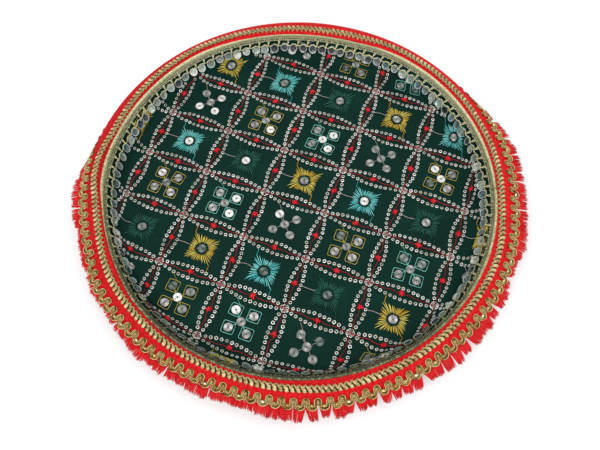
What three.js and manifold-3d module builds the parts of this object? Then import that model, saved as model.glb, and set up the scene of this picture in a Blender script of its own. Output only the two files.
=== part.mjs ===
// Thali plate: a steel dish lined with embroidered cloth and trimmed round its rim.
// Units are millimetres and +Z is up. The origin is the centre of the underside.

import * as THREE from 'three';
import { mergeVertices } from 'three/addons/utils/BufferGeometryUtils.js';
import Module from 'manifold-3d';

const wasm = await Module();
wasm.setup();

const degree = Math.PI / 180;

// Steel plate
const rimRadius = 151;
const rimHeight = 19.4;
const steelThickness = 0.8;
const wallAngle = 57 * degree;
const floorBend = 6.8;
const lipBend = 1.5;
const lipWidth = 3.8;
const curlRadius = 3.2;
const curlAngle = 230 * degree;

// Cloth and the gap that lies between any two layers
const gap = 0.3;
const clothThickness = 0.5;

// Red tape over the lip, with the zigzag braid along its top
const tapeThickness = 0.6;
const leaveAngle = 24 * degree;
const leaveRun = 5;
const flareAngle = 12 * degree;
const hangAngle = 82 * degree;
const skirtBend = 3.5;
const tapeTail = 1;
const zigzagWidth = 3.4;
const zigzagInset = 2.6;
const zigzagThickness = 0.8;

// The skirt hangs steeply round the back and stands out nearly flat everywhere else
const hangMiddle = 101.5 * degree;
const hangReach = 71.5 * degree;
const hangBlend = 28 * degree;

// Loop braid and cut fringe on the skirt of the tape
const loopWidth = 6.5;
const loopLead = 3.5;
const loopSlip = 3.8;
const loopPitch = 7.7;
const loopThickness = 1;
const studHeight = 1.5;
const loopScallop = 1.1;
const fringeLength = 6;
const fringeRagged = 1.2;
const raggedBeat = 1.2;
const tuftPitch = 7.7;
const tuftGap = 0.9;

// Crocheted lace inside the rim: header, thread net and hanging spangles
const headerWidth = 4.6;
const headerThickness = 0.8;
const netHeight = 1.9;
const netThread = 0.8;
const spangleWidth = 5.8;
const spanglePitch = 8.1;
const spangleThickness = 0.5;
const spangleLink = 0.8;

// Embroidered lattice of the cloth
const cellLong = 48.3;
const cellShort = 40;
const latticeTurn = -20 * degree;
const latticeShiftLong = 25.1;
const latticeShiftShort = 33.1;
const stitchThickness = 0.8;
const stripWaist = 2.9;
const stripBelly = 9;
const couchingWidth = 0.9;
const couchingThickness = 0.5;

// Motifs inside the cells
const sequinRadius = 3.5;
const sequinThickness = 0.7;
const starWidth = 19;
const starRays = 8;
const starValley = 0.55;
const starThickness = 0.5;
const dotSpread = 6.7;
const frameWidth = 8.6;
const frameThickness = 0.5;
const linkWaist = 1.6;
const linkThickness = 0.4;

// Fineness of the round shapes
const ringSides = 40;
const bendSlack = 0.3;
const sequinSides = 6;
const endMargin = 2;
const weldDistance = 5e-4;
const leastStep = 0.01;

// Heights of the layers above the upper face of the steel
const clothTop = gap + clothThickness;
const tapeLow = clothTop + gap;
const tapeTop = tapeLow + tapeThickness;
const braidLow = tapeTop + gap;
const stitchLow = clothTop + gap;
const stitchTop = stitchLow + stitchThickness;
const couchingLow = stitchTop + gap;
const laceLow = stitchTop + gap;

// A section line runs from the axis outwards along the upper face of the steel.
// Each run is a length and the angle through which it turns, upwards if positive.
function sectionLine(runs) {
  const parts = [];
  let start = 0;
  let r = 0;
  let z = steelThickness;
  let heading = 0;
  for (const [length, turn] of runs) {
    const part = { start, length, turn, r, z, heading };
    parts.push(part);
    [r, z, heading] = along(part, length);
    start += length;
  }
  return parts;
}

function along(part, distance) {
  const { length, turn, r, z, heading } = part;
  if (turn === 0) {
    return [r + distance * Math.cos(heading), z + distance * Math.sin(heading), heading];
  }
  const radius = length / turn;
  const end = heading + turn * distance / length;
  const endR = r + radius * (Math.sin(end) - Math.sin(heading));
  const endZ = z - radius * (Math.cos(end) - Math.cos(heading));
  return [endR, endZ, end];
}

// The point at arc length s along a line, raised off the steel by height
function linePoint(line, s, height) {
  const part = line.findLast((candidate) => s >= candidate.start) ?? line[0];
  const [r, z, heading] = along(part, s - part.start);
  return new THREE.Vector2(r - height * Math.sin(heading), z + height * Math.cos(heading));
}

// Runs of the plate itself, from the axis to where its rim begins to curl
const wallRise = rimHeight - steelThickness;
const floorRadius = rimRadius - curlRadius - lipWidth - wallRise / Math.tan(wallAngle);
const floorTangent = floorBend * Math.tan(wallAngle / 2);
const lipTangent = lipBend * Math.tan(wallAngle / 2);
const wallRun = wallRise / Math.sin(wallAngle) - floorTangent - lipTangent;
const plateRuns = [
  [floorRadius - floorTangent, 0],
  [floorBend * wallAngle, wallAngle],
  [wallRun, 0],
  [lipBend * wallAngle, -wallAngle],
  [lipWidth - lipTangent, 0],
];

// The steel curls under, while the trimming leaves the curl and goes on as a skirt
const flareRun = loopWidth - loopLead + fringeLength;
const steelLine = sectionLine([...plateRuns, [curlRadius * curlAngle, -curlAngle]]);
const coverLine = skirtLine(flareAngle);
const hangLine = skirtLine(hangAngle);

function skirtLine(angle) {
  return sectionLine([
    ...plateRuns,
    [curlRadius * leaveAngle, -leaveAngle],
    [leaveRun, 0],
    [skirtBend, leaveAngle - angle],
    [flareRun, 0],
  ]);
}

// Arc lengths at which the pieces begin and end
const flatEdge = floorRadius - floorTangent;
const wallEnd = flatEdge + floorBend * wallAngle + wallRun;
const curlStart = coverLine[plateRuns.length].start;
const flareStart = coverLine.at(-1).start;
const headerTop = wallEnd - gap;
const headerBottom = headerTop - headerWidth;
const netTop = headerBottom - gap;
const netBottom = netTop - netHeight;
const spangleTop = netBottom - gap;
const spangleBottom = spangleTop - spangleWidth;
const zigzagInner = wallEnd + zigzagInset;
const tapeEnd = flareStart + tapeTail;
const fringeStart = tapeEnd + gap;
const loopStart = flareStart - loopLead;
const loopEnd = loopStart + loopWidth;
const fieldEdge = headerBottom - gap;
const latticeEdge = spangleBottom - gap;

// Merged, closed and outward-facing form of a geometry, with position alone
function closed(source) {
  const bare = source.clone();
  bare.deleteAttribute('normal');
  bare.deleteAttribute('uv');
  const merged = mergeVertices(bare, weldDistance);
  const corners = merged.index.array;
  const kept = [];
  for (let k = 0; k < corners.length; k += 3) {
    const [a, b, c] = corners.slice(k, k + 3);
    if (a !== b && b !== c && c !== a) kept.push(a, b, c);
  }
  merged.setIndex(kept);
  if (signedVolume(merged) < 0) merged.setIndex(kept.reverse());
  return merged;
}

function signedVolume(geometry) {
  const corners = geometry.index.array;
  const place = geometry.attributes.position;
  const [a, b, c] = [new THREE.Vector3(), new THREE.Vector3(), new THREE.Vector3()];
  let volume = 0;
  for (let k = 0; k < corners.length; k += 3) {
    a.fromBufferAttribute(place, corners[k]);
    b.fromBufferAttribute(place, corners[k + 1]);
    c.fromBufferAttribute(place, corners[k + 2]);
    volume += a.dot(b.cross(c)) / 6;
  }
  return volume;
}

function meshGeometry(positions, corners) {
  const geometry = new THREE.BufferGeometry();
  geometry.setAttribute('position', new THREE.Float32BufferAttribute(positions, 3));
  geometry.setIndex(corners);
  return geometry;
}

function solid(geometry) {
  const source = closed(geometry);
  return new wasm.Manifold(new wasm.Mesh({
    numProp: 3,
    vertProperties: Float32Array.from(source.attributes.position.array),
    triVerts: Uint32Array.from(source.index.array),
  }));
}

function joined(geometries) {
  const solids = geometries.map(solid);
  return solids.reduce((whole, next) => whole.add(next));
}

function solidGeometry(body) {
  const mesh = body.simplify(leastStep).getMesh();
  return meshGeometry(Array.from(mesh.vertProperties), Array.from(mesh.triVerts));
}

// Steps in which a bend is drawn, so that no chord leaves the arc by more than the slack
function bendSteps(part) {
  if (part.turn === 0) return 1;
  const radius = Math.abs(part.length / part.turn);
  const halfStep = Math.acos(Math.max(0, 1 - bendSlack / radius));
  return Math.ceil(Math.abs(part.turn) / 2 / halfStep);
}

function marksBetween(line, from, to) {
  const marks = [from];
  for (const part of line) {
    const steps = bendSteps(part);
    for (let k = 0; k < steps; k += 1) {
      const mark = part.start + part.length * k / steps;
      if (mark > from + leastStep && mark < to - leastStep) marks.push(mark);
    }
  }
  marks.push(to);
  return marks;
}

// A layer turned round the axis, between two arc lengths and two heights off the steel
function layer(line, from, to, low, high) {
  const marks = marksBetween(line, from, to);
  const under = marks.map((s) => linePoint(line, s, low));
  const over = marks.map((s) => linePoint(line, s, high)).reverse();
  const profile = [...under, ...over];
  if (from > 0) profile.push(profile[0].clone());
  return closed(new THREE.LatheGeometry(profile, ringSides).rotateX(Math.PI / 2));
}

function hangShare(angle) {
  const turned = angle - hangMiddle;
  const away = Math.abs(Math.atan2(Math.sin(turned), Math.cos(turned)));
  return 1 - THREE.MathUtils.smoothstep(away, hangReach - hangBlend / 2, hangReach + hangBlend / 2);
}

// The point of the cover at one of the corners of the turned layers
const side = 2 * Math.PI / ringSides;
const firstCorner = -Math.PI / 2;

function atCorner(s, height, corner) {
  const angle = firstCorner + corner * side;
  const point = linePoint(coverLine, s, height);
  point.lerp(linePoint(hangLine, s, height), hangShare(angle));
  return new THREE.Vector3(point.x * Math.cos(angle), point.x * Math.sin(angle), point.y);
}

// The same at any angle, because the turned layers are flat between their corners
function onPlate(s, height, angle) {
  const turned = (angle - firstCorner) / side;
  const corner = Math.floor(turned);
  const fromMiddle = Math.tan((turned - corner - 1 / 2) * side) / Math.tan(side / 2);
  const next = atCorner(s, height, corner + 1);
  return atCorner(s, height, corner).lerp(next, (1 + fromMiddle) / 2).toArray();
}

// Lays a flat shape, drawn on the spread-out cloth with its height in z, onto the plate
function drape(geometry) {
  const place = geometry.attributes.position;
  for (let k = 0; k < place.count; k += 1) {
    const s = Math.hypot(place.getX(k), place.getY(k));
    const angle = Math.atan2(place.getY(k), place.getX(k));
    place.setXYZ(k, ...onPlate(s, place.getZ(k), angle));
  }
  return geometry;
}

// A closed ring whose section, a list of arc lengths and heights, changes on its way round
function ring(count, sectionAt) {
  const positions = [];
  const corners = [];
  const size = sectionAt(0, firstCorner).length;
  for (let k = 0; k < count; k += 1) {
    const angle = firstCorner + 2 * Math.PI * k / count;
    for (const [s, height] of sectionAt(k, angle)) positions.push(...onPlate(s, height, angle));
    for (let m = 0; m < size; m += 1) {
      const here = k * size;
      const next = ((k + 1) % count) * size;
      const beside = (m + 1) % size;
      corners.push(here + m, next + m, here + beside);
      corners.push(here + beside, next + m, next + beside);
    }
  }
  return closed(meshGeometry(positions, corners));
}

function countRound(s, pitch) {
  const radius = linePoint(coverLine, s, 0).x;
  return Math.round(2 * Math.PI * radius / pitch);
}

// Three-cornered section: two feet at low and a crest at high
function ridge(middle, width, low, high) {
  return [[middle - width / 2, low], [middle + width / 2, low], [middle, high]];
}

function steelThali() {
  const end = steelLine.at(-1);
  return layer(steelLine, 0, end.start + end.length, -steelThickness, 0);
}

function embroideredCloth() {
  return layer(coverLine, 0, curlStart, gap, clothTop);
}

function rimTape() {
  const marks = marksBetween(hangLine, wallEnd, tapeEnd);
  const under = marks.map((s) => [s, tapeLow]);
  const over = marks.map((s) => [s, tapeTop]).reverse();
  return ring(ringSides, () => [...under, ...over]);
}

function zigzagBraid() {
  return layer(coverLine, zigzagInner, zigzagInner + zigzagWidth, braidLow, braidLow + zigzagThickness);
}

// The braid's loops make both of its edges wave, and each loop holds a raised stud.
// Where the skirt hangs, the braid lies below the bend.
function loopBraid() {
  const loops = countRound(loopEnd, loopPitch);
  return ring(loops * 2, (k, angle) => {
    const middle = loopStart + loopWidth / 2 + loopSlip * hangShare(angle);
    const atStud = k % 2 === 0;
    const width = atStud ? loopWidth : loopWidth - 2 * loopScallop;
    const top = atStud ? studHeight : loopThickness;
    return ridge(middle, width, braidLow, braidLow + top);
  });
}

// Each bunch of cut thread is a tooth of the ring, and no two neighbours are equally long
function fringe() {
  const tufts = countRound(loopEnd, tuftPitch);
  const tip = (tapeLow + tapeTop) / 2;
  return ring(tufts * 2, (k) => {
    const short = fringeRagged * (0.5 + 0.5 * Math.sin(raggedBeat * k));
    const end = k % 2 === 0 ? loopEnd + tuftGap : loopEnd + fringeLength - short;
    return [[fringeStart, tapeLow], [end, tip], [fringeStart, tapeTop]];
  });
}

function laceHeader() {
  return layer(coverLine, headerBottom, headerTop, stitchLow, stitchLow + headerThickness);
}

// The net's thread runs from the header down to the spangles and back, one loop to each
function laceNet() {
  const loops = countRound(spangleTop, spanglePitch);
  return ring(loops * 2, (k) => {
    const middle = k % 2 === 0 ? netTop - netThread / 2 : netBottom + netThread / 2;
    return ridge(middle, netThread, laceLow, laceLow + netThread);
  });
}

// Hanging spangles, strung edge to edge on one thread
function spangleRow() {
  const spangles = countRound(spangleTop, spanglePitch);
  const middle = (spangleTop + spangleBottom) / 2;
  return ring(spangles * 2, (k) => {
    const width = k % 2 === 0 ? spangleLink : spangleWidth;
    return ridge(middle, width, laceLow, laceLow + spangleThickness);
  });
}

// Place on the spread-out cloth of a point given along the two directions of the lattice
function latticePoint(long, short) {
  const longWay = new THREE.Vector2(Math.cos(latticeTurn), Math.sin(latticeTurn));
  const shortWay = new THREE.Vector2(Math.sin(latticeTurn), -Math.cos(latticeTurn));
  return longWay.multiplyScalar(long).addScaledVector(shortWay, short);
}

// The two directions of the lattice: spacing of its lines and size of the cells along them
const longWays = {
  runsLong: true,
  spacing: cellShort,
  shift: latticeShiftShort,
  cell: cellLong,
  cellShift: latticeShiftLong,
};
const shortWays = {
  runsLong: false,
  spacing: cellLong,
  shift: latticeShiftLong,
  cell: cellShort,
  cellShift: latticeShiftShort,
};

// The lattice lines of one direction: how far each lies from the centre and half its length
function latticeLines(direction, edge) {
  const { spacing, shift, cell } = direction;
  const lines = [];
  const most = Math.ceil(edge / spacing) + 1;
  for (let k = -most; k <= most; k += 1) {
    const offset = k * spacing - shift;
    const reach = Math.abs(offset) + stripBelly / 2;
    const half = reach < edge ? Math.sqrt(edge ** 2 - reach ** 2) : 0;
    if (half > cell / 2) lines.push({ direction, offset, half });
  }
  return lines;
}

// One ridged strip along a lattice line, draped on the cloth. It narrows where it climbs the wall.
function latticeStrip(line, style) {
  const { direction, offset, half } = line;
  const { runsLong, cell, cellShift } = direction;
  const { low, high, fractions, widthAt } = style;
  const flatHalf = Math.sqrt(Math.max(0, flatEdge ** 2 - offset ** 2));
  const climbs = half > flatHalf;
  const stations = climbs ? [-half, -flatHalf] : [-half];
  const most = Math.ceil(half / cell) + 1;
  for (let k = -most; k <= most; k += 1) {
    for (const fraction of fractions) {
      const t = (k + fraction) * cell - cellShift;
      if (Math.abs(t) < Math.min(half, flatHalf) - endMargin) stations.push(t);
    }
  }
  if (climbs) stations.push(flatHalf);
  stations.push(half);
  const positions = [];
  const corners = [[0, 2, 1]];
  stations.forEach((t, k) => {
    const turns = (t + cellShift) / cell;
    const belly = widthAt(turns - Math.floor(turns + weldDistance));
    const flat = Math.hypot(t, offset) + stripBelly / 2 < flatEdge;
    const width = flat ? belly : Math.min(belly, stripWaist);
    for (const [side, height] of ridge(offset, width, low, high)) {
      const point = runsLong ? latticePoint(t, side) : latticePoint(side, t);
      positions.push(point.x, point.y, height);
    }
    if (k === 0) return;
    for (let m = 0; m < 3; m += 1) {
      const [a, b] = [k * 3 - 3 + m, k * 3 - 3 + (m + 1) % 3];
      corners.push([a, b, a + 3], [b, b + 3, a + 3]);
    }
  });
  const last = stations.length * 3 - 3;
  corners.push([last, last + 1, last + 2]);
  return drape(meshGeometry(positions, corners.flat()));
}

function latticeBody(style) {
  const lines = [...latticeLines(longWays, style.edge), ...latticeLines(shortWays, style.edge)];
  const strips = lines.map((line) => latticeStrip(line, style));
  return closed(solidGeometry(joined(strips)));
}

// Twin rows of ring sequins that part between the crossings, as one lens-shaped strip a side
function sequinLattice() {
  const swell = stripBelly - stripWaist;
  return latticeBody({
    edge: latticeEdge,
    low: stitchLow,
    high: stitchTop,
    fractions: [0, 1 / 2],
    widthAt: (fraction) => stripWaist + swell * Math.sin(Math.PI * fraction),
  });
}

// Couching thread that holds the cloth down between the twin rows, as far as the floor is flat
function couchingThread() {
  return latticeBody({
    edge: flatEdge,
    low: couchingLow,
    high: couchingLow + couchingThickness,
    fractions: [0, 1 / 2],
    widthAt: () => couchingWidth,
  });
}

// A flat piece of a motif: corner points round a middle one, of even thickness
function flatPiece(points, thickness, x = 0, y = 0) {
  const sides = points.length;
  const geometry = new THREE.CylinderGeometry(1, 1, thickness, sides);
  geometry.rotateX(Math.PI / 2).rotateZ(Math.PI / 2).translate(0, 0, thickness / 2);
  const place = geometry.attributes.position;
  for (let k = 0; k < place.count; k += 1) {
    const [unitX, unitY] = [place.getX(k), place.getY(k)];
    if (Math.hypot(unitX, unitY) < leastStep) continue;
    const corner = Math.round(Math.atan2(unitY, unitX) * sides / 2 / Math.PI);
    place.setXY(k, ...points[(corner + sides) % sides]);
  }
  return { geometry, x, y };
}

function roundPoints(count, radiusAt) {
  return Array.from({ length: count }, (_, k) => {
    const angle = 2 * Math.PI * k / count;
    const radius = radiusAt(k, angle);
    return [radius * Math.cos(angle), radius * Math.sin(angle)];
  });
}

function sequin(x, y) {
  return flatPiece(roundPoints(sequinSides, () => sequinRadius), sequinThickness, x, y);
}

// Rays of thread round one sequin, longest towards the corners of the cell
function sunburst() {
  const rays = roundPoints(starRays * 2, (k, angle) => {
    const square = starWidth / 2 / Math.max(Math.abs(Math.cos(angle)), Math.abs(Math.sin(angle)));
    return k % 2 === 0 ? square : square * starValley;
  });
  return [flatPiece(rays, starThickness), sequin(0, 0)];
}

// Thread that links the middle sequin with the four outer ones
function links() {
  const reach = dotSpread * Math.SQRT2;
  const points = roundPoints(8, (k) => (k % 2 === 0 ? linkWaist : reach));
  return flatPiece(points, linkThickness);
}

function frame(x, y) {
  const half = frameWidth / 2;
  return flatPiece([[half, half], [-half, half], [-half, -half], [half, -half]], frameThickness, x, y);
}

const dotPlaces = [
  [dotSpread, dotSpread],
  [-dotSpread, dotSpread],
  [-dotSpread, -dotSpread],
  [dotSpread, -dotSpread],
];

function framedDots() {
  return [sequin(0, 0), links(), ...dotPlaces.map(([x, y]) => frame(x, y))];
}

function plainDots() {
  return [sequin(0, 0), links(), ...dotPlaces.map(([x, y]) => sequin(x, y))];
}

// Draws the corners that reach past the edge of the field back towards the piece's middle
function trimToField(geometry, middle) {
  const place = geometry.attributes.position;
  const away = new THREE.Vector2();
  for (let k = 0; k < place.count; k += 1) {
    away.set(place.getX(k), place.getY(k));
    if (away.length() <= fieldEdge) continue;
    away.sub(middle);
    const square = away.lengthSq();
    const slope = middle.dot(away);
    const room = fieldEdge ** 2 - middle.lengthSq();
    away.multiplyScalar((Math.sqrt(slope * slope + square * room) - slope) / square).add(middle);
    place.setXY(k, away.x, away.y);
  }
  return geometry;
}

// A motif laid in its cell, short of the lace header where it climbs the wall
function motif(pieces, centre) {
  const laid = [];
  for (const { geometry, x, y } of pieces) {
    const middle = new THREE.Vector2(x, y).rotateAround(new THREE.Vector2(), latticeTurn).add(centre);
    if (middle.distanceTo(centre) > leastStep && middle.length() > fieldEdge - sequinRadius) continue;
    geometry.rotateZ(latticeTurn).translate(middle.x, middle.y, stitchLow);
    laid.push(drape(trimToField(geometry, middle)));
  }
  return closed(solidGeometry(joined(laid)));
}

// Materials by colour, roughness and metalness
function finish(color, roughness, metalness = 0) {
  return new THREE.MeshStandardMaterial({ color, roughness, metalness });
}
const steel = finish('#b9bcbf', 0.35, 1);
const greenCloth = finish('#143a31', 0.6);
const redTape = finish('#e62a2e', 0.8);
const redThread = finish('#c2202c', 0.7);
const oliveLace = finish('#a39c6d', 0.7);
const paleGold = finish('#c9bb80', 0.55);
const goldLurex = finish('#bfa766', 0.4, 0.6);
const brightGold = finish('#cba044', 0.35, 0.8);
const clearSilver = finish('#c3cbc8', 0.15, 0.4);
const silver = finish('#cfd1cf', 0.25, 0.9);
const goldThread = finish('#d2a62e', 0.5);
const turquoiseThread = finish('#55c9c0', 0.5);
const greenThread = finish('#1f6452', 0.5);

const plate = new THREE.Group();

function addPiece(name, geometry, material) {
  const mesh = new THREE.Mesh(geometry, material);
  mesh.name = name;
  plate.add(mesh);
}

addPiece('steel_thali', steelThali(), steel);
addPiece('embroidered_cloth', embroideredCloth(), greenCloth);
addPiece('rim_tape', rimTape(), redTape);
addPiece('zigzag_braid', zigzagBraid(), goldLurex);
addPiece('loop_braid', loopBraid(), brightGold);
addPiece('fringe', fringe(), redTape);
addPiece('lace_header', laceHeader(), oliveLace);
addPiece('lace_net', laceNet(), paleGold);
addPiece('spangle_row', spangleRow(), clearSilver);
addPiece('sequin_lattice', sequinLattice(), silver);
addPiece('couching_thread', couchingThread(), redThread);

// Rows of sunbursts and rows of five sequins take turns. Along a row, three kinds follow
// each other, and the shift says which of them the row's cell number 0 has.
const sunKinds = [['gold', goldThread], ['turquoise', turquoiseThread], ['green', greenThread]];
const dotKinds = [['silver', silver], ['gold', goldThread], ['turquoise', turquoiseThread]];
const rowShifts = { '-3': 1, '-2': 2, '-1': 2, 0: 0, 1: 0, 2: 1, 3: 2, 4: 0 };

function kindOf(row, column) {
  const shift = rowShifts[row] ?? 0;
  const turn = (((column + shift) % 3) + 3) % 3;
  return row % 2 === 0 ? sunKinds[turn] : dotKinds[turn];
}

function addMotifs() {
  const rows = Math.ceil(fieldEdge / cellShort) + 1;
  const columns = Math.ceil(fieldEdge / cellLong) + 1;
  for (let row = -rows; row <= rows; row += 1) {
    for (let column = -columns; column <= columns; column += 1) {
      const long = (column + 0.5) * cellLong - latticeShiftLong;
      const short = (row + 0.5) * cellShort - latticeShiftShort;
      const centre = latticePoint(long, short);
      if (centre.length() > fieldEdge) continue;
      const [colour, material] = kindOf(row, column);
      const place = `${row + rows}_${column + columns}`;
      if (row % 2 === 0) {
        addPiece(`${colour}_sunburst_${place}`, motif(sunburst(), centre), material);
      } else if (colour === 'silver') {
        addPiece(`silver_dots_${place}`, motif(plainDots(), centre), material);
      } else {
        addPiece(`${colour}_frames_${place}`, motif(framedDots(), centre), material);
      }
    }
  }
}

addMotifs();

export default plate;
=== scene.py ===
import math
from collections import namedtuple

import bpy
import numpy as np
from mathutils import Matrix, Vector

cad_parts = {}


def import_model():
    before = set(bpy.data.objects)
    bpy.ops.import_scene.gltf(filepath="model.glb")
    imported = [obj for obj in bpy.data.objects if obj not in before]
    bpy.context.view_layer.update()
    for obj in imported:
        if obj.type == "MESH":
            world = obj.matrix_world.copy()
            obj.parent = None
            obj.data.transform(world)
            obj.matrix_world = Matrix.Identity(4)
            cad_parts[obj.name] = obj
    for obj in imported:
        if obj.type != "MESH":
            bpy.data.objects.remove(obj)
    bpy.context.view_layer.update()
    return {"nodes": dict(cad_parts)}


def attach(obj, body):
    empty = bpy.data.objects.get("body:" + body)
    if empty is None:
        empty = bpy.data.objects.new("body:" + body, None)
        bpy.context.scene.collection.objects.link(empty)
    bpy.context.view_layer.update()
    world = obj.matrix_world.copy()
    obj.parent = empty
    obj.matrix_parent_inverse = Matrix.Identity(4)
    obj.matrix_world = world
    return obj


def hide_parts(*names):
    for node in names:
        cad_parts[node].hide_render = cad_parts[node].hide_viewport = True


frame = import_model()
rng = np.random.default_rng(11)

# Sizes are in millimetres, as in the part's source. A piece becomes metres when it is laid on the plate.
MM = 0.001
DEGREE = math.pi / 180
TURN = 2 * math.pi

RIM_RADIUS = 151
RIM_HEIGHT = 19.4
STEEL = 0.8
WALL_ANGLE = 57 * DEGREE
FLOOR_BEND = 6.8
LIP_BEND = 1.5
LIP_WIDTH = 3.8
CURL_RADIUS = 3.2
CURL_ANGLE = 230 * DEGREE
LEAVE_ANGLE = 24 * DEGREE
LEAVE_RUN = 5
FLARE_ANGLE = 12 * DEGREE
HANG_ANGLE = 82 * DEGREE
SKIRT_BEND = 3.5
HANG_MIDDLE = 101.5 * DEGREE
HANG_REACH = 71.5 * DEGREE
HANG_BLEND = 28 * DEGREE
HANG_SLIP = 3.8
BACK_SLIP = 2.2

# Arc lengths from the axis along the steel's upper face
WALL_END = 152.68
CURL_START = 157.16
HEADER_TOP = 152.38
HEADER_BOTTOM = 147.78
SPANGLE_MIDDLE = 142.3
NET_LINE = 145.3
LACE_MIDDLE = 147
FIELD_EDGE = 147.2
LATTICE_EDGE = 139.6
TAPE_LINE = 160
TAPE_END = 168.2
ZIGZAG_LINE = 156.9
LOOP_INNER, LOOP_LINE, LOOP_OUTER = 162.9, 166.7, 169
FRINGE_START, FRINGE_LINE, FRINGE_END = 168.4, 172, 175.2

# Spacings round the plate
ZIGZAG_PITCH = 3.7
LOOP_PITCH = 7.7
SPANGLE_PITCH = 8.1
POST_PITCH = 1.6
TWIST_PITCH = 1.35

# Heights above the steel's upper face
CLOTH_TOP = 0.8
STITCH_LOW = 1.0
TAPE_LOW = 1.1
TAPE_TOP = 1.7
BRAID_LOW = 1.9
FRINGE_LOW = 1.35
LACE_LOW = 1.2
SPANGLE_LOW = 2.2

# Embroidered lattice
CELL_LONG = 48.3
CELL_SHORT = 40
LATTICE_TURN = -20 * DEGREE
SHIFT_LONG = 25.1
SHIFT_SHORT = 33.1
NAME_OFFSET = 5
ROW_GAP = 4.1
ROW_WAIST = 0.9
SEQUIN_PITCH = 3.45
DISC_HOLE = 0.72
DISC_RADIUS = 3.25
DOT_SPREAD = 6.7
CUP_RADIUS = 3.3

# How finely round shapes are cut
DISH_SIDES = 240
ARCH_STEPS = 12


class Line:
    """A section from the axis outwards along the steel's upper face, in runs of a length and a turn."""

    def __init__(self, runs):
        rows = []
        s, r, z, heading = 0.0, 0.0, STEEL, 0.0
        for length, turn in runs:
            rows.append((s, length, turn, r, z, heading))
            r, z, heading = self.step(length, turn, r, z, heading, length)
            s += length
        self.rows = np.array(rows)
        self.end = s

    @staticmethod
    def step(length, turn, r, z, heading, distance):
        bent = np.where(np.abs(turn) < 1e-9, 1e-9, turn)
        end = heading + bent * distance / length
        radius = length / bent
        r = r + radius * (np.sin(end) - np.sin(heading))
        z = z - radius * (np.cos(end) - np.cos(heading))
        return r, z, end

    def at(self, s, lift):
        s = np.asarray(s, float)
        k = np.clip(np.searchsorted(self.rows[:, 0], s, side="right") - 1, 0, len(self.rows) - 1)
        start, length, turn, r, z, heading = self.rows[k].T
        r, z, end = self.step(length, turn, r, z, heading, s - start)
        return r - lift * np.sin(end), z + lift * np.cos(end)


wall_rise = RIM_HEIGHT - STEEL
floor_radius = RIM_RADIUS - CURL_RADIUS - LIP_WIDTH - wall_rise / math.tan(WALL_ANGLE)
floor_tangent = FLOOR_BEND * math.tan(WALL_ANGLE / 2)
lip_tangent = LIP_BEND * math.tan(WALL_ANGLE / 2)
plate_runs = [
    (floor_radius - floor_tangent, 0),
    (FLOOR_BEND * WALL_ANGLE, WALL_ANGLE),
    (wall_rise / math.sin(WALL_ANGLE) - floor_tangent - lip_tangent, 0),
    (LIP_BEND * WALL_ANGLE, -WALL_ANGLE),
    (LIP_WIDTH - lip_tangent, 0),
]


def skirt_line(angle):
    return Line([
        *plate_runs,
        (CURL_RADIUS * LEAVE_ANGLE, -LEAVE_ANGLE),
        (LEAVE_RUN, 0),
        (SKIRT_BEND, LEAVE_ANGLE - angle),
        (30, 0),
    ])


steel_line = Line([*plate_runs, (CURL_RADIUS * CURL_ANGLE, -CURL_ANGLE)])
flare_line = skirt_line(FLARE_ANGLE)
hang_line = skirt_line(HANG_ANGLE)


def hang_share(angle):
    away = np.abs((angle - HANG_MIDDLE + math.pi) % TURN - math.pi)
    t = np.clip((HANG_REACH + HANG_BLEND / 2 - away) / HANG_BLEND, 0, 1)
    return t * t * (3 - 2 * t)


def about_axis(r, angle, z):
    return np.stack([r * np.cos(angle), r * np.sin(angle), z], -1) * MM


def on_plate(s, angle, lift):
    """The place in metres of a point of the cover, by arc length, angle and height off the steel."""
    r, z = flare_line.at(s, lift)
    hung_r, hung_z = hang_line.at(s, lift)
    share = hang_share(angle)
    r = r + (hung_r - r) * share
    z = z + (hung_z - z) * share
    return about_axis(r, angle, z)


def drape(points):
    """Lays points of the spread-out cloth, with their height in z, onto the plate."""
    x, y, lift = points.T
    return on_plate(np.hypot(x, y), np.arctan2(y, x), lift)


def radius_at(s):
    return float(flare_line.at(s, 0)[0])


# How far the hand has laid the trims in or out, in millimetres by the angle in degrees
ZIGZAG_STRAY = [(-150, -.5), (-130, -.8), (-110, -.95), (-95, 0), (-80, 1.5), (-65, .3), (-50, -.35),
                (-36, -.3), (-22, .5), (-12, -.8), (-4, -1.6), (8, -1), (18, -.7), (30, -.2), (45, 0),
                (58, -.35), (70, -1.95), (78, -2.3), (90, -1.8), (102, -1.5), (115, -.5), (126, .6),
                (135, -.2), (149, -.7), (158, -1.4), (166, -1.1), (174, 1.5), (180, 1.4), (186, -1),
                (194, -1.6), (202, -1.5), (210, -.3)]
LOOP_STRAY = [(-150, 1.7), (-140, 1), (-120, -.7), (-110, -1), (-95, .3), (-85, 1.6), (-70, .7), (-50, -.5),
              (-30, .4), (-22, .9), (-10, 0), (-2, -.2), (4, 0), (9, .9), (14, 1.8), (18, 1.6), (30, .5),
              (60, 0), (170, 0), (185, -.5), (194, -1.4), (203, -1.4), (209, .8)]
LACE_STRAY = [(-90, .9), (0, .9), (30, 1), (45, 1), (58, .7), (65, .2), (72, -1), (80, -1.3), (90, -.9),
              (100, -.3), (115, .5), (125, 1.1), (150, .9), (165, 1), (175, 1.4), (182, 1.2), (190, .2),
              (200, -.4), (210, .1), (220, .9)]
SPANGLE_STRAY = [(-140, .6), (-120, 1.3), (-70, 1.3), (-40, .8), (0, 0), (30, .3), (58, .3), (66, -.6),
                 (75, -2.2), (90, -2.2), (98, -1.2), (110, .8), (120, 1.6), (132, 1.6), (150, .5), (158, -.2),
                 (175, 1.1), (190, -.6), (200, -1.2), (212, -.6), (215, .2)]
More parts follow.
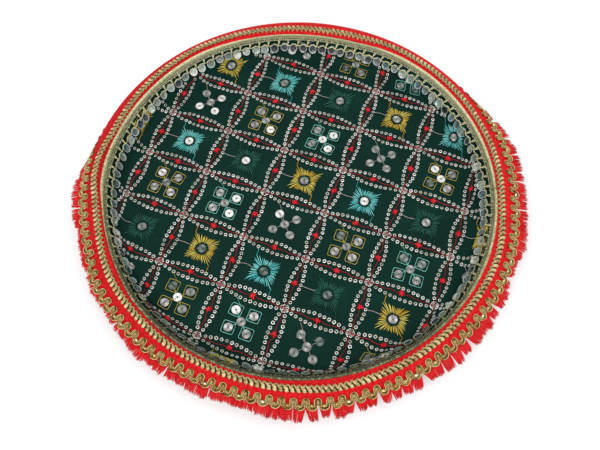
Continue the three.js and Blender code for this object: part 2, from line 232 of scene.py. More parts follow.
FRINGE_STRAY = [(-150, -3.4), (-140, -2.5), (-130, .4), (-123, -1), (-115, 0), (-105, -1.5), (-95, 1),
                (-87, 2), (-79, 2), (-71, 0), (-55, 1.5), (-35, 1), (-23, -2), (-14, 2.2), (-8, 1), (5, 1.4),
                (12, 2.4), (18, 1), (30, 0), (170, 0), (187, 1), (195, -3), (209, -3.4)]
WAVER = [(0.12, 5, 1.3), (0.1, 11, 0), (0.07, 23, 2)]

# Parts of the way round, by their middle and reach in degrees
LACE_FRONT = (-95, 62)
LACE_BACK = (85, 75)
DARK_SPANGLES = (86, 17)

# Where bunches of fringe are wider or narrower: middle and reach in degrees, and the change
BUNCH_WIDTHS = [(205, 30, 0.22), (258, 10, 0.22), (302, 32, -0.2)]


def stray(table, angle):
    degrees, shift = np.array(table, float).T
    return np.interp(angle / DEGREE, degrees, shift, period=360)


def wrap(s_middle, table=None, slips=False):
    """Lays a trim, drawn as (way round, arc length, height), round the plate by hand, not quite evenly."""
    radius = radius_at(s_middle)

    def lay(points):
        u, s, lift = points.T
        angle = u / radius
        for size, waves, lag in WAVER:
            s = s + size * np.sin(waves * angle + lag)
        if table is not None:
            s = s + stray(table, angle)
        if slips:
            share = hang_share(angle)
            s = s + HANG_SLIP * share + BACK_SLIP * share**3
        return on_plate(s, angle, lift)

    return lay


def share_near(angle, middle, reach):
    """How far a place round the plate belongs to the part of it about an angle in degrees."""
    away = (angle - middle * DEGREE + math.pi) % TURN - math.pi
    return np.exp(-((away / (reach * DEGREE)) ** 4))


def wrap_lace(points):
    """Lays the lace, whose header follows the edge of the tape while its spangles hang as they please."""
    u, s, lift = points.T
    angle = u / LACE_RADIUS
    hangs = np.clip((HEADER_BOTTOM + 0.22 - s) / 4.5, 0, 1)
    lift = lift - 0.75 * share_near(angle, *LACE_FRONT) * hangs
    s = s + stray(LACE_STRAY, angle) * (1 - hangs) + stray(SPANGLE_STRAY, angle) * hangs
    return on_plate(s, angle, lift)


def count_round(s, pitch):
    return round(TURN * radius_at(s) / pitch)


LOOPS = count_round(LOOP_LINE, LOOP_PITCH)
SPANGLES = count_round(NET_LINE, SPANGLE_PITCH)
LACE_RADIUS = radius_at(LACE_MIDDLE)
LACE_ROUND = TURN * LACE_RADIUS
SPANGLE_STEP = LACE_ROUND / SPANGLES


# Shapes: points, faces and, for each point, its place along and round its thread
Shape = namedtuple("Shape", "points quads tris grain")
NO_TRIS = np.zeros((0, 3), int)


def joined(*parts):
    return np.stack(np.broadcast_arrays(*parts), -1)


def unit(v):
    return v / np.maximum(np.linalg.norm(v, axis=-1, keepdims=True), 1e-9)


def ring_quads(here, there):
    """The faces between closed rings of points and the rings beside them."""
    return np.stack([here, there, np.roll(there, -1, -1), np.roll(here, -1, -1)], -1).reshape(-1, 4)


def tubes(paths, radius, sides, flat=1.0, closed=False):
    """Threads along equally long lists of points. Their seam is underneath."""
    paths = np.asarray(paths, float)
    count, length, _ = paths.shape
    if closed:
        way = np.roll(paths, -1, 1) - np.roll(paths, 1, 1)
    else:
        way = np.gradient(paths, axis=1)
    way = unit(way)
    across = unit(np.cross(way, (0, 0, 1)))
    up = np.cross(across, way)
    turn = TURN * np.arange(sides) / sides - math.pi / 2
    ring = across[:, :, None] * np.cos(turn)[:, None]
    ring = ring + up[:, :, None] * np.sin(turn)[:, None] * flat
    radius = np.broadcast_to(np.asarray(radius, float), (count, length))
    points = paths[:, :, None] + ring * radius[:, :, None, None]
    index = np.arange(count * length * sides).reshape(count, length, sides)
    here = index if closed else index[:, :-1]
    there = np.roll(index, -1, 1) if closed else index[:, 1:]
    tris = NO_TRIS
    if not closed:
        fan = np.array([[0, k, k + 1] for k in range(1, sides - 1)])
        first = index[:, 0][:, fan]
        last = index[:, -1][:, fan[:, ::-1]]
        tris = np.concatenate([first.reshape(-1, 3), last.reshape(-1, 3)])
    steps = np.linalg.norm(np.diff(paths, axis=1, prepend=paths[:, :1]), axis=-1)
    grain = joined(np.cumsum(steps, 1)[:, :, None], np.arange(sides) / sides)
    return Shape(points.reshape(-1, 3), ring_quads(here, there), tris, grain.reshape(-1, 2))


def turned(profile, sides):
    """A round shape from (radius, height) pairs, from the rim of its hole outwards."""
    profile = np.asarray(profile, float)
    angle = TURN * np.arange(sides) / sides
    r, z = profile[:, :1], profile[:, 1:]
    points = joined(r * np.cos(angle), r * np.sin(angle), z)
    index = np.arange(len(profile) * sides).reshape(len(profile), sides)
    grain = joined(r, angle / TURN)
    return Shape(points.reshape(-1, 3), ring_quads(index[:-1], index[1:]), NO_TRIS, grain.reshape(-1, 2))


def copies(shape, spots, tilt=np.zeros((1, 2)), size=np.ones(1)):
    """Copies of a shape at spots, each spun about z at random, tilted by (x, y) slopes and scaled."""
    spots = np.asarray(spots, float)
    count = len(spots)
    spin = rng.uniform(0, TURN, count)
    c, s = np.cos(spin)[:, None], np.sin(spin)[:, None]
    x, y, z = shape.points.T
    points = joined(c * x - s * y, s * x + c * y, z) * size[:, None, None]
    points[..., 2] += points[..., 0] * tilt[:, :1] + points[..., 1] * tilt[:, 1:]
    points = points + spots[:, None]
    step = np.arange(count)[:, None, None] * len(z)
    quads, tris = (shape.quads + step).reshape(-1, 4), (shape.tris + step).reshape(-1, 3)
    return Shape(points.reshape(-1, 3), quads, tris, np.tile(shape.grain, (count, 1)))


def per_point(tone, count):
    return np.repeat(np.asarray(tone, float), count // np.size(tone))


def in_scene(name, data):
    made = bpy.data.objects.new(name, data)
    bpy.context.scene.collection.objects.link(made)
    return made


class Piece:
    """Gathers shapes, each with a tone from 0 to 1, and makes one object of them."""

    def __init__(self, lay=drape):
        self.lay = lay
        self.shapes = []
        self.tones = []

    def add(self, shape, tone=0.5):
        self.shapes.append(shape._replace(points=self.lay(shape.points)))
        self.tones.append(per_point(tone, len(shape.points)))
        return self

    def make(self, name, material, slot, nodes=()):
        starts = np.cumsum([0] + [len(s.points) for s in self.shapes])
        points = np.concatenate([s.points for s in self.shapes])
        quads = np.concatenate([s.quads + k for s, k in zip(self.shapes, starts)])
        tris = np.concatenate([s.tris + k for s, k in zip(self.shapes, starts)])
        mesh = bpy.data.meshes.new(name)
        mesh.vertices.add(len(points))
        mesh.vertices.foreach_set("co", points.astype(np.float32).ravel())
        mesh.loops.add(quads.size + tris.size)
        mesh.loops.foreach_set("vertex_index", np.concatenate([quads.ravel(), tris.ravel()]).astype(np.int32))
        sizes = np.concatenate([np.full(len(quads), 4), np.full(len(tris), 3)])
        mesh.polygons.add(len(sizes))
        loop_start = np.concatenate([[0], np.cumsum(sizes)[:-1]])
        mesh.polygons.foreach_set("loop_start", loop_start.astype(np.int32))
        mesh.polygons.foreach_set("use_smooth", np.ones(len(sizes), bool))
        mesh.update(calc_edges=True)
        tone = mesh.attributes.new("tone", "FLOAT", "POINT")
        tone.data.foreach_set("value", np.concatenate(self.tones).astype(np.float32))
        grain = mesh.attributes.new("grain", "FLOAT_VECTOR", "POINT")
        along, across = np.concatenate([s.grain for s in self.shapes]).T
        grain.data.foreach_set("vector", joined(along, across, 0).astype(np.float32).ravel())
        mesh.materials.append(material)
        piece = in_scene(name, mesh)
        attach(piece, "root")
        if nodes:
            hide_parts(*nodes)
        return piece


# Materials
def colour(red, green, blue):
    parts = [c / 255 for c in (red, green, blue)]
    return (*[c / 12.92 if c <= 0.04045 else ((c + 0.055) / 1.055) ** 2.4 for c in parts], 1)


class Nodes:
    """The nodes of a tree. Inputs are given as values or as the outputs of other nodes."""

    def __init__(self, owner):
        owner.use_nodes = True
        self.tree = owner.node_tree

    def node(self, kind, inputs, output=0, **settings):
        made = self.tree.nodes.new("ShaderNode" + kind)
        for key, value in settings.items():
            setattr(made, key, value)
        for key, value in inputs.items():
            self.put(made.inputs[key], value)
        return made.outputs[output]

    def put(self, socket, value):
        if isinstance(value, bpy.types.NodeSocket):
            self.tree.links.new(value, socket)
        else:
            socket.default_value = value

    def math(self, operation, a, b=0.0, c=0.0):
        return self.node("Math", {0: a, 1: b, 2: c}, operation=operation)

    def times(self, a, b):
        return self.math("MULTIPLY", a, b)

    def sum(self, value, factor, base):
        """A base and a value times a factor."""
        return self.math("MULTIPLY_ADD", value, factor, base)


class Graph(Nodes):
    """A material of one shader."""

    def __init__(self, name, roughness, metallic=0.0, **constant):
        self.material = bpy.data.materials.new(name)
        super().__init__(self.material)
        self.shader = self.tree.nodes["Principled BSDF"]
        constant.update(Roughness=roughness, Metallic=metallic)
        for key, value in constant.items():
            self.shader.inputs[key.replace("_", " ")].default_value = value

    def tone(self):
        return self.node("Attribute", {}, "Fac", attribute_name="tone")

    def split(self, vector):
        made = self.tree.nodes.new("ShaderNodeSeparateXYZ")
        self.put(made.inputs[0], vector)
        return made.outputs

    def grain(self):
        return self.split(self.node("Attribute", {}, "Vector", attribute_name="grain"))[:2]

    def waves(self, place, length):
        return self.math("SINE", self.times(place, TURN / length))

    def noise(self, scale, detail=2.0, vector=None):
        if vector is None:
            vector = self.node("TexCoord", {}, "Object")
        return self.node("TexNoise", {"Vector": vector, "Scale": scale, "Detail": detail}, "Fac")

    def about_half(self, value, factor, base):
        """Adds to a base what a value is above or below a half, times a factor."""
        return self.sum(self.math("SUBTRACT", value, 0.5), factor, base)

    def ramp(self, value, stops):
        """A colour by a value. A stop is a place with red, green and blue to 255, or with one grey to 1."""
        made = self.tree.nodes.new("ShaderNodeValToRGB")
        self.put(made.inputs[0], value)
        elements = made.color_ramp.elements
        while len(elements) < len(stops):
            elements.new(0.5)
        for element, (place, *shade) in zip(elements, stops):
            element.position = place
            element.color = colour(*shade) if len(shade) == 3 else (*shade * 3, 1)
        return made.outputs[0]

    def finish(self, colour_value, height=None, depth=0.0, roughness=None):
        self.put(self.shader.inputs["Base Color"], colour_value)
        if roughness is not None:
            self.put(self.shader.inputs["Roughness"], roughness)
        if height is not None:
            bump = self.node("Bump", {"Height": height, "Distance": depth * MM, "Strength": 1.0}, "Normal")
            self.put(self.shader.inputs["Normal"], bump)
        return self.material


def thread(name, dark, middle, light, roughness, metallic=0.0, twist=1.4, depth=0.12, strands=2, edge=0.0,
           gloss=0.5):
    """Twisted yarn, whose strands wind round it. Each thread has a tone, and its flanks can be painted darker
    and its top lighter: painted shade and light.
    """
    g = Graph(name, roughness, metallic, Specular_IOR_Level=gloss)
    along, around = g.grain()
    phase = g.sum(along, twist, g.times(around, float(strands)))
    strand = g.waves(phase, 1)
    fleck = g.noise(1600.0)
    mixed = g.about_half(fleck, 0.7, g.sum(strand, 0.16, g.tone()))
    # Painted shade: by the edge factor, the flanks and underside of the thread are darker and its top is
    # lighter.
    if edge:
        crest = g.math("COSINE", g.times(g.math("SUBTRACT", around, 0.5), TURN))
        mixed = g.sum(g.math("SUBTRACT", crest, 0.55), edge, mixed)
    shade = g.ramp(mixed, [(0.1, *dark), (0.5, *middle), (0.92, *light)])
    height = g.sum(fleck, 0.6, strand)
    return g.finish(shade, height, depth)


def brushed_steel():
    """Steel with fine lines round the axis."""
    g = Graph("steel", 0.32, 1.0)
    x, y, z = g.split(g.node("TexCoord", {}, "Object"))
    across = g.math("SQRT", g.math("ADD", g.times(x, x), g.times(y, y)))
    angle = g.times(g.math("ARCTAN2", y, x), 0.004)
    turning = g.node("CombineXYZ", {0: across, 1: angle, 2: z})
    lines = g.noise(2600.0, 3.0, turning)
    cloudy = g.noise(28.0, 3.0)
    shade = g.ramp(lines, [(0.3, 168, 171, 174), (0.7, 214, 216, 218)])
    rough = g.sum(cloudy, 0.18, g.sum(lines, 0.16, 0.16))
    return g.finish(shade, lines, 0.03, rough)


def satin():
    g = Graph("green_satin", 0.6, Specular_IOR_Level=0.09)
    along, around = g.grain()
    weave = g.times(g.waves(along, 0.42), g.waves(around, 0.3))
    soft = g.noise(34.0, 4.0)
    fine = g.noise(900.0, 2.0)
    mixed = g.sum(fine, 0.35, g.times(soft, 0.65))
    shade = g.ramp(mixed, [(0.25, 1, 30, 25), (0.55, 2, 41, 34), (0.8, 6, 55, 45)])
    height = g.sum(soft, 6.0, g.times(weave, 0.3))
    return g.finish(shade, height, 0.1)


def ribbed_tape():
    g = Graph("red_tape", 0.85, Specular_IOR_Level=0.15)
    along, across = g.grain()
    rib = g.waves(along, 1.0)
    weave = g.sum(g.times(rib, g.waves(across, 0.5)), 0.5, rib)
    fleck = g.noise(700.0, 3.0)
    mixed = g.sum(weave, 0.16, fleck)
    shade = g.ramp(mixed, [(0.25, 176, 10, 18), (0.5, 232, 22, 30), (0.8, 248, 48, 50)])
    return g.finish(shade, g.math("ADD", weave, fleck), 0.12)


def shiny_disc(name, stops, roughness, metallic, painted_glint=0.0):
    """Pressed foil: fine rings about the hole, each disc with a tone and a painted glint of its own."""
    g = Graph(name, roughness, metallic)
    out, spoke = g.grain()
    rings = g.waves(out, 0.62)
    scratch = g.noise(900.0, 3.0)
    # Painted glint: a bow tie of painted highlight across each disc, which turns with the disc.
    mixed = g.sum(spoke, painted_glint, g.about_half(scratch, 0.3, g.tone()))
    mixed = g.sum(rings, 0.05, mixed)
    return g.finish(g.ramp(mixed, stops), g.sum(scratch, 0.5, rings), 0.05)


def clear_cup():
    """Clear plastic cups: dark where the cloth shows through, pale round the rim, a painted reflection."""
    g = Graph("spangle", 0.12, 0.25, Coat_Weight=0.6, Coat_Roughness=0.05)
    out, _ = g.grain()
    # The pale rim is a painted reflection.
    rim = g.ramp(g.math("DIVIDE", out, CUP_RADIUS), [(0.0, 0.2), (0.2, 0), (0.8, 0), (0.97, 1)])
    rim = g.node("RGBToBW", {0: rim})
    clouds = g.noise(420.0, 2.0)
    inner = g.ramp(g.about_half(clouds, 0.8, g.tone()), [
        (0.02, 14, 18, 28), (0.2, 34, 46, 52), (0.38, 66, 112, 112), (0.52, 126, 120, 116),
        (0.68, 90, 124, 118), (0.82, 148, 156, 136), (0.98, 206, 210, 204),
    ])
    shade = g.node("Mix", {"Factor": rim, "A": inner, "B": colour(206, 212, 206)}, "Result", data_type="RGBA")
    return g.finish(shade, clouds, 0.08)


steel = brushed_steel()
green_satin = satin()
red_tape = ribbed_tape()
red_fringe = thread("red_fringe", (204, 16, 26), (250, 34, 42), (255, 84, 80), 0.8, twist=0.9, gloss=0.15)
lurex = thread("gold_lurex", (70, 48, 22), (180, 152, 92), (240, 220, 166), 0.34, 0.3, twist=1.1, strands=3,
               depth=0.14, edge=0.5)
bright_gold = thread("bright_gold", (78, 46, 10), (226, 170, 72), (255, 238, 168), 0.28, 0.3, twist=1.2,
                     depth=0.16, edge=0.5)
stud_gold = shiny_disc("stud_gold", [(0.2, 190, 140, 50), (0.6, 248, 220, 140), (0.9, 255, 250, 224)],
                       0.2, 0.4)
olive = thread("olive_lace", (44, 50, 36), (148, 147, 104), (214, 212, 172), 0.6, twist=0.9, depth=0.14)
pale_gold = thread("pale_gold", (66, 70, 50), (196, 190, 132), (240, 236, 192), 0.5)
spangle = clear_cup()
ring_silver = shiny_disc("ring_silver", [(0.1, 104, 104, 96), (0.45, 186, 184, 168), (0.85, 250, 250, 244)],
                         0.25, 0.3)
disc_silver = shiny_disc("disc_silver", [(0.05, 46, 70, 66), (0.3, 98, 112, 108), (0.6, 156, 152, 148),
                                         (0.9, 232, 232, 228)], 0.28, 0.3, painted_glint=0.16)
couching = thread("couching_red", (84, 10, 22), (142, 22, 38), (196, 62, 70), 0.7, gloss=0.2)
knot_red = thread("knot_red", (130, 6, 18), (206, 18, 32), (238, 60, 66), 0.6, twist=0.8, gloss=0.2)
gold_thread = thread("gold_thread", (176, 114, 6), (248, 192, 30), (255, 238, 116), 0.5, gloss=0.25)
frame_gold = thread("frame_gold", (110, 96, 24), (190, 170, 60), (232, 218, 120), 0.4)
frame_turquoise = thread("frame_turquoise", (30, 130, 120), (104, 210, 194), (190, 244, 230), 0.5)
turquoise = thread("turquoise_thread", (8, 140, 150), (56, 216, 216), (158, 255, 250), 0.5, gloss=0.25)
green_thread = thread("green_thread", (6, 50, 42), (12, 74, 62), (30, 112, 94), 0.5)
pale_thread = thread("pale_thread", (118, 112, 110), (186, 178, 172), (234, 228, 222), 0.5)


# Steel plate, its lining and the tape that hides its rim
def bend_marks(line, start, end, fine):
    """Arc lengths between two others, close together where the line bends."""
    marks = [start]
    for s, length, turn, *_ in line.rows:
        steps = max(3, math.ceil(abs(turn) / fine))
        marks += [s + length * k / steps for k in range(steps)]
    marks = [m for m in marks if start <= m < end - 0.01]
    return np.array(sorted(set(marks)) + [end])


def band(places, sides, radius=1, closed=False):
    """A band round the axis through arc lengths and heights, whose way round is angle x radius."""
    s, lift = np.asarray(places, float).T
    turn = TURN * np.arange(sides)[:, None] / sides
    index = np.arange(sides * len(s)).reshape(sides, len(s))
    beside = np.roll(index, -1, 0)
    if closed:
        quads = ring_quads(index, beside)
    else:
        quads = np.stack([index[:, :-1], beside[:, :-1], beside[:, 1:], index[:, 1:]], -1).reshape(-1, 4)
    grain = joined(np.minimum(turn, TURN - turn) * s, s)
    return Shape(joined(turn * radius, s, lift).reshape(-1, 3), quads[:, ::-1], NO_TRIS, grain.reshape(-1, 2))


def flat_section(marks, low, high):
    """The places of a closed band: outwards along its top and back underneath."""
    return [(s, high) for s in marks] + [(s, low) for s in marks[::-1]]


def turn_on(line):
    """Lays a band, drawn as (angle, arc length, height), on a section."""
    def lay(points):
        angle, s, lift = points.T
        r, z = line.at(s, lift)
        return about_axis(r, angle, z)
    return lay


def steel_plate():
    # The extra places in the middle keep the shading of the flat floor even
    marks = np.concatenate([[0.05, 0.1, 0.2, 1, 8], bend_marks(steel_line, 20, steel_line.end, 6 * DEGREE)])
    shape = band(flat_section(marks, -STEEL, 0.0), DISH_SIDES, closed=True)
    Piece(turn_on(steel_line)).add(shape).make("steel_plate", steel, "steel", ["steel_thali"])


def lining():
    marks = np.concatenate([np.linspace(0.05, 126, 48), bend_marks(flare_line, 128, CURL_START, 9 * DEGREE)])
    shape = band([(s, CLOTH_TOP) for s in marks], DISH_SIDES)
    # Woven threads run straight across the cloth, so its grain is the spread-out place
    turn, s, _ = shape.points.T
    shape = shape._replace(grain=joined(np.cos(turn) * s, np.sin(turn) * s))
    return Piece(turn_on(flare_line)).add(shape).make("cloth_lining", green_satin, "green_cloth",
                                                      ["embroidered_cloth"])


def tape():
    """The tape, which bulges over the steel's rim and is waved at its inner edge by hand."""
    lay = wrap(TAPE_LINE)
    radius = radius_at(TAPE_LINE)
    crest_line, crest_reach = 160.6, 1.3
    edge_line, edge_reach = 155.4, 2.8

    def laid(points):
        angle, s, lift = points.T
        crest = np.exp(-(((s - crest_line) / crest_reach) ** 2))
        lift = lift + (0.25 + 0.12 * np.sin(37 * angle)) * crest
        s = s + stray(LACE_STRAY, angle) * np.clip((edge_line - s) / edge_reach, 0, 1)
        return lay(joined(angle * radius, s, lift))

    places = flat_section(np.linspace(WALL_END - 0.1, TAPE_END, 30), TAPE_LOW, TAPE_TOP)
    shape = band(places, 960, closed=True)
    return Piece(laid).add(shape).make("rim_ribbon", red_tape, "red_tape", ["rim_tape"])


# Braids
def zigzag():
    """A row of plump stitches, each of three metal threads, whose ends run inwards as a zigzag."""
    radius = radius_at(ZIGZAG_LINE)
    count = count_round(ZIGZAG_LINE, ZIGZAG_PITCH)
    pitch = TURN * radius / count
    base_low, base_high, base_top = 156.1, 158.7, BRAID_LOW + 0.3
    stitch_start, stitch_run, end_start, end_run = 156.95, 2.1, 155.45, 1.55
    piece = Piece(wrap(ZIGZAG_LINE, ZIGZAG_STRAY))
    # A dark band under the stitches: painted shade, which shows in the slots between them.
    places = flat_section(np.linspace(base_low, base_high, 4), BRAID_LOW, base_top)
    piece.add(band(places, 720, radius, closed=True), 0.0)
    k = np.arange(count)[:, None]
    t = np.linspace(0, 1, 7)
    belly = np.sin(math.pi * (0.1 + 0.8 * t)) ** 0.7
    lean = 0.75 + rng.normal(0, 0.12, (count, 1))
    shade = rng.uniform(0.25, 0.75, count)
    # Each stitch has a random tone, and its three threads are painted a step lighter from one side to the
    # other: painted light and shade that shape the stitch.
    for n in (-1, 0, 1):
        u = k * pitch + lean * (t - 0.5) + n * 0.76 * belly + 0.1
        lift = base_top + (0.62 - 0.2 * abs(n)) * belly
        stitch = joined(u, stitch_start + stitch_run * t, lift)
        piece.add(tubes(stitch, 0.2 + 0.3 * belly, 6), shade + 0.12 * n)
    t = np.arange(count * 10) / 10
    swing = np.abs((t + 0.3) % 1 - 0.5) * 2
    for half in (-1, 1):
        s = end_start + end_run * swing + 0.28 * half
        path = joined(t * pitch, s, BRAID_LOW + 0.35 + 0.35 * swing)[None]
        piece.add(tubes(path, 0.38, 6, closed=True), 0.3 + 0.25 * swing + rng.normal(0, 0.08, len(t)))
    piece.make("zigzag_plait", lurex, "gold_lurex", ["zigzag_braid"])


def serpentine(pitch, offset):
    """A line that swings to and fro in the loop braid in round arches, shifted sideways by an offset."""
    inner_bend, outer_bend = pitch * 0.17, pitch * 0.33
    arches = ((1, inner_bend, LOOP_INNER + inner_bend, 0), (-1, outer_bend, LOOP_OUTER - outer_bend, 0.5))
    angle = np.linspace(math.pi, 0, ARCH_STEPS, endpoint=False) + 0.5 * math.pi / ARCH_STEPS
    points = []
    for k in range(LOOPS):
        for side, bend, edge, later in arches:
            radius = bend + side * offset
            points.append(joined((k + later) * pitch + radius * np.cos(angle),
                                 edge - side * radius * np.sin(angle)))
    return np.concatenate(points)


def loops():
    """Three gold cords that swing in and out together, with a dark cord and beads in the outer loops. The
    dark cord is partly dark thread and partly painted shade, a flat dark band under the cords is painted
    shade, and the cords carry painted highlights.
    """
    middle = (LOOP_INNER + LOOP_OUTER) / 2
    cord_gap, chain_line, bead_line = 0.92, 166.4, 167.3
    pitch = TURN * radius_at(middle) / LOOPS
    lay = wrap(middle, LOOP_STRAY, slips=True)
    cords = Piece(lay)
    # A flat dark band under the cords: painted shade in the gaps between them.
    path = joined(*serpentine(pitch, 0.0).T, BRAID_LOW + 0.22)[None]
    cords.add(tubes(path, 1.15, 6, flat=0.18, closed=True), -0.2)
    for n, offset in enumerate((-cord_gap, 0.0, cord_gap)):
        line = serpentine(pitch, offset)
        inmost = n == 1
        steps = np.arange(len(line))
        lift = BRAID_LOW + 0.62 + 0.2 * np.sin(TURN * steps / (2 * ARCH_STEPS) + n) + 0.12 * inmost
        # Painted highlights at the tips and tops of the arches with darker legs, painted sparkle at each
        # point and a random tone for each loop; the middle cord is painted darker, as shade between the other
        # two.
        painted_gleam = 0.66 + 0.36 * np.cos(TURN * steps / ARCH_STEPS + rng.normal(0, 0.5))
        painted_gleam += np.repeat(rng.normal(0, 0.16, LOOPS), 2 * ARCH_STEPS) + rng.normal(0, 0.2, len(line))
        cords.add(tubes(joined(*line.T, lift)[None], 0.25, 7, closed=True), painted_gleam - 0.3 * inmost)
    # A dark cord through the outer loops: partly dark thread, partly painted shade between the loops.
    t = np.arange(LOOPS * 8) / (LOOPS * 8)
    for half in (0, math.pi):
        own = t * TURN * LOOPS + half
        chain = joined(t * pitch * LOOPS, chain_line + 0.4 * np.sin(own),
                       BRAID_LOW + 0.35 + 0.2 * np.cos(own))
        cords.add(tubes(chain[None], 0.42, 6, closed=True), 0.0)
    cords.make("loop_cords", bright_gold, "bright_gold", ["loop_braid"])
    bead = turned([(0.05, 1.1), (0.5, 0.95), (0.86, 0.5), (0.95, 0.0), (0.6, -0.4)], 9)
    u = (np.arange(LOOPS) + 0.5) * pitch + rng.normal(0, 0.2, LOOPS)
    spots = joined(u, bead_line + rng.normal(0, 0.15, LOOPS), BRAID_LOW + 0.45)
    studs = Piece(lay)
    studs.add(copies(bead, spots, size=rng.uniform(0.6, 1.1, LOOPS)), rng.uniform(0.2, 1, LOOPS))
    studs.make("loop_studs", stud_gold, "bright_gold")


def fringe():
    """Bunches of cut thread, one to each loop, which narrow towards a ragged end."""
    radius = radius_at(FRINGE_LINE)
    strands, stations = 52, 4
    all_threads = (LOOPS, strands)
    centre = (np.arange(LOOPS) + 0.5 + rng.uniform(-0.1, 0.1, LOOPS))[:, None] * (TURN * radius / LOOPS)
    angle = centre / radius
    lean = rng.normal(0, 0.8, (LOOPS, 1))
    longer = rng.normal(0, 0.7, (LOOPS, 1))
    width = rng.uniform(0.7, 1.04, (LOOPS, 1))
    for middle, reach, change in BUNCH_WIDTHS:
        width += change * (np.abs(angle / DEGREE - middle) < reach)
    spread = np.linspace(-0.5, 0.5, strands)
    t = np.linspace(0, 1, stations)
    root = centre + spread * 7.9
    tip = centre + lean + spread * 8.0 * width + rng.normal(0, 0.25, all_threads)
    ragged = 0.4 * np.sin(spread * 9 + rng.uniform(0, 6, (LOOPS, 1))) - 2.4 * np.abs(spread) ** 3
    ends = FRINGE_END + longer + ragged + rng.normal(0, 0.42, all_threads) + stray(FRINGE_STRAY, angle)
    u = root[..., None] + (tip - root)[..., None] * t ** 1.1
    s = FRINGE_START + (ends - FRINGE_START)[..., None] * t
    layer = rng.uniform(-0.3, 0.35, all_threads)
    lift = FRINGE_LOW + layer[..., None] * (0.5 + t) + 0.25 * np.sin(t * 3)
    paths = joined(u, s, lift).reshape(-1, stations, 3)
    tone = rng.normal(0.5, 0.13, (LOOPS, 1)) * 0.4 + rng.normal(0.3, 0.12, all_threads)
    piece = Piece(wrap(FRINGE_LINE)).add(tubes(paths, np.array([0.18, 0.21, 0.2, 0.09]), 4), tone.ravel())
    piece.make("fringe_threads", red_fringe, "red_fringe", ["fringe"])


# Crocheted lace
def rope(s, lift, radius, reach, sides):
    """Two strands twisted round each other, right round the plate."""
    twists = count_round(LACE_MIDDLE, TWIST_PITCH) // 2
    t = np.arange(twists * 6) / (twists * 6)
    paths = []
    for half in (0, math.pi):
        own = t * TURN * twists + half
        paths.append(joined(t * LACE_ROUND, s + reach * np.sin(own), lift + reach * np.cos(own)))
    return tubes(paths, radius, sides, closed=True)


def add_lace(piece, shape, tone):
    """Adds thread that is flecked, with painted shade in front, where the wall faces away from the light, and
    painted light at the back, where the wall faces the light.
    """
    angle = shape.points[:, 0] / LACE_RADIUS
    front, back = share_near(angle, *LACE_FRONT), share_near(angle, *LACE_BACK)
    # Painted shade in front and painted light at the back.
    tone = per_point(tone, len(angle)) * (1 - 0.7 * front) - 0.08 * front + 0.26 * back
    return piece.add(shape, tone + rng.normal(0, 0.24, len(angle)))


def lace():
    base = Piece(wrap_lace)
    marks = np.linspace(HEADER_BOTTOM + 0.2, HEADER_TOP - 0.1, 8)
    base.add(band(flat_section(marks, LACE_LOW, LACE_LOW + 0.45), 480, LACE_RADIUS, closed=True), 0.02)
    posts = count_round(LACE_MIDDLE, POST_PITCH)
    u = np.arange(posts) * LACE_ROUND / posts
    t = np.linspace(0, 1, 4)
    path = joined(u[:, None] + 0.9 * t, 148.3 + 1.5 * t, LACE_LOW + 0.6 + 0.25 * np.sin(t * math.pi))
    add_lace(base, tubes(path, 0.3, 5), rng.uniform(0.1, 0.9, posts))
    for s, tone in ((148.2, 0.6), (150.0, 0.55), (150.8, 0.35), (151.5, 0.55)):
        add_lace(base, rope(s, LACE_LOW + 0.65, 0.26, 0.14, 4), tone)
    base.make("lace_rows", olive, "olive_lace", ["lace_header"])
    edge = add_lace(Piece(wrap_lace), rope(152.2, LACE_LOW + 0.7, 0.34, 0.2, 5), 0.55)
    knot = turned([(0.05, 0.55), (0.3, 0.48), (0.45, 0.2), (0.4, -0.1)], 7)
    u = u[::3]
    spots = joined(u + rng.normal(0, 0.4, len(u)), rng.uniform(147.7, 149.6, len(u)), LACE_LOW + 0.8)
    add_lace(edge, copies(knot, spots), 1.0)
    edge.make("lace_edge", pale_gold, "olive_lace")


def net():
    """Pale thread that leaves the header between two spangles and runs over the top of each."""
    piece = Piece(wrap_lace)
    k = np.arange(SPANGLES)[:, None] + rng.uniform(-0.06, 0.06, (SPANGLES, 1))
    t = np.linspace(0, 1, 7)
    for side in (-1, 1):
        u = (k + 0.5) * SPANGLE_STEP + side * (0.25 + 0.3 * np.sin(t * 5)) + 0.9 * t
        lift = LACE_LOW + 0.7 + 0.9 * t + 0.2 * side * np.sin(t * math.pi)
        shape = tubes(joined(u, HEADER_BOTTOM + 0.4 - 3.2 * t, lift), 0.33, 6)
        add_lace(piece, shape, rng.uniform(0.45, 0.8, SPANGLES))
    t = np.arange(SPANGLES * 12) / (SPANGLES * 12)
    turn = t * TURN * SPANGLES
    for lag, depth in ((0.0, 0.75), (0.4, 0.55)):
        s = 144.9 + depth * np.cos(turn + lag) + 0.15 * np.sin(3.1 * turn)
        lift = LACE_LOW + 1.5 + 0.2 * np.sin(2 * turn + lag)
        add_lace(piece, tubes(joined(t * LACE_ROUND, s, lift)[None], 0.27, 6, closed=True), 0.5)
    piece.make("net_threads", pale_gold, "pale_gold_thread", ["lace_net"])


